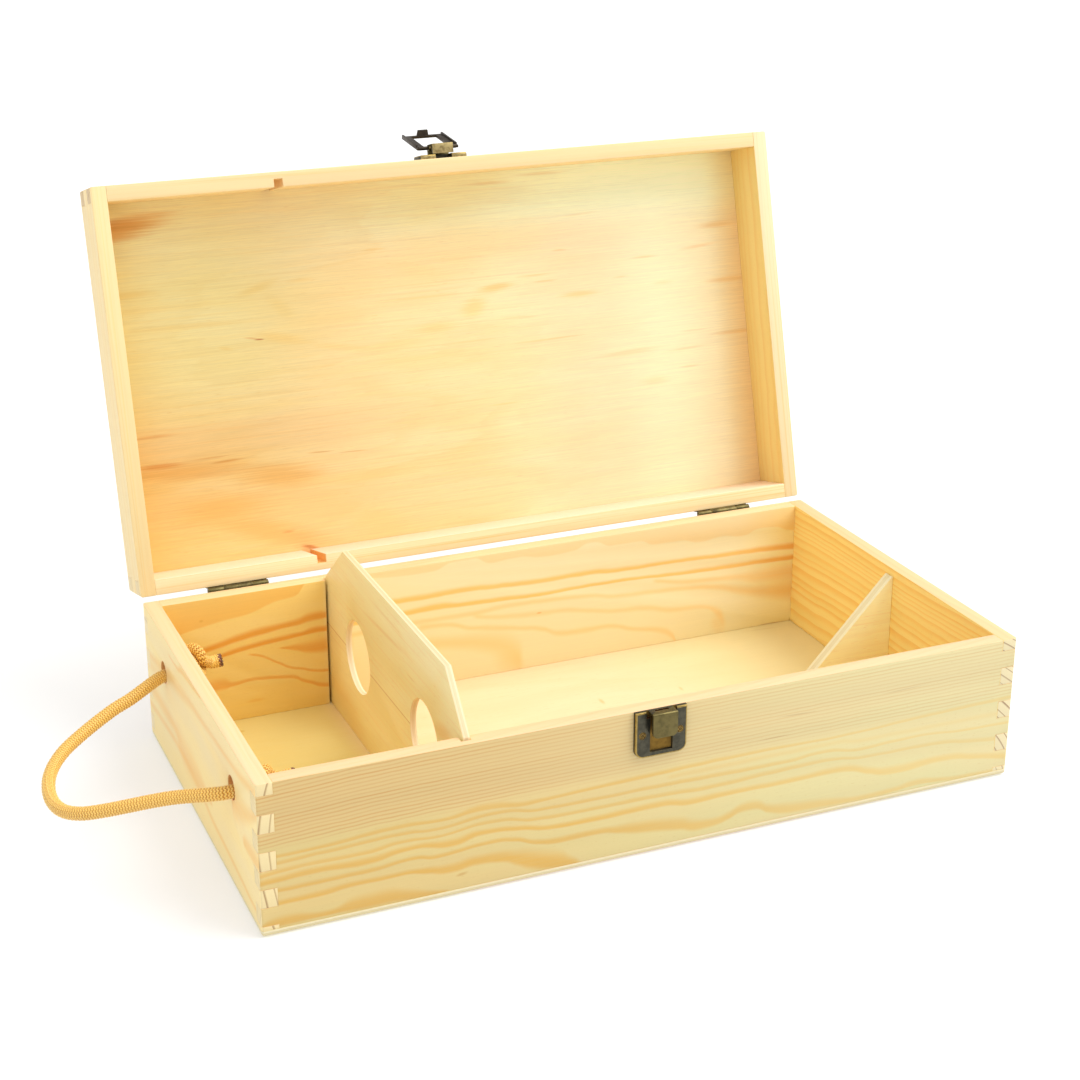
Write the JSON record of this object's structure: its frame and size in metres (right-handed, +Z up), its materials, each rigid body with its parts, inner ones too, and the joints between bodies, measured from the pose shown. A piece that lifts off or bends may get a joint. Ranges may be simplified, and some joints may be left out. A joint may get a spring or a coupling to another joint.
{
  "type": "wooden wine box",
  "caption": "Flat hinged pine gift box for wine bottles lying side by side, with a neck divider, a wedge divider, a rope handle at one end and a brass hook latch.",
  "frame": {"origin": "middle of the underside of the base, on the surface it stands on", "axes": "+X along the box, away from the rope handle; +Y from the latch to the hinges; +Z up"},
  "size_m": [0.4285, 0.2883, 0.2693],
  "materials": {
    "pine": "bare sanded pine",
    "plywood": "bare light plywood",
    "antique_brass": "antiqued dark brass with rubbed edges",
    "cord": "golden braided cord"
  },
  "bodies": {
    "base": {"bottom_panel": "plywood", "base_front_wall": "pine", "base_back_wall": "pine", "base_left_end": "pine", "base_right_end": "pine", "wedge_divider": "plywood", "hinge_left_base_leaf": "antique_brass", "hinge_left_pin": "antique_brass", "hinge_right_base_leaf": "antique_brass", "hinge_right_pin": "antique_brass", "hinge_base_screws": "antique_brass", "latch_catch": "antique_brass", "latch_catch_screws": "antique_brass", "rope_handle": "cord", "rope_knot_back": "cord", "rope_knot_front": "cord"},
    "lid": {"lid_front_wall": "pine", "lid_back_wall": "pine", "lid_left_end": "pine", "lid_right_end": "pine", "lid_panel": "plywood", "hinge_left_lid_leaf": "antique_brass", "hinge_right_lid_leaf": "antique_brass", "hinge_lid_screws": "antique_brass", "latch_lid_plate": "antique_brass", "latch_lid_screws": "antique_brass"},
    "hasp": {"latch_hasp": "antique_brass"},
    "divider": {"neck_divider": "plywood"}
  },
  "joints": [
    {"name": "lid_hinge", "type": "hinge", "parent": "base", "child": "lid", "pos_m": [0, 0.09995, 0.0696], "axis": [1, 0, 0], "range_deg": [0, 105.1]},
    {"name": "hasp_pivot", "type": "hinge", "parent": "lid", "child": "hasp", "pos_m": [-0.0024, 0.16193, 0.26401], "axis": [1, 0, 0], "range_deg": [0, 160]},
    {"name": "divider_lift", "type": "slide", "parent": "base", "child": "divider", "axis": [0, 0, -1], "range_m": [-0.1, 0]}
  ]
}
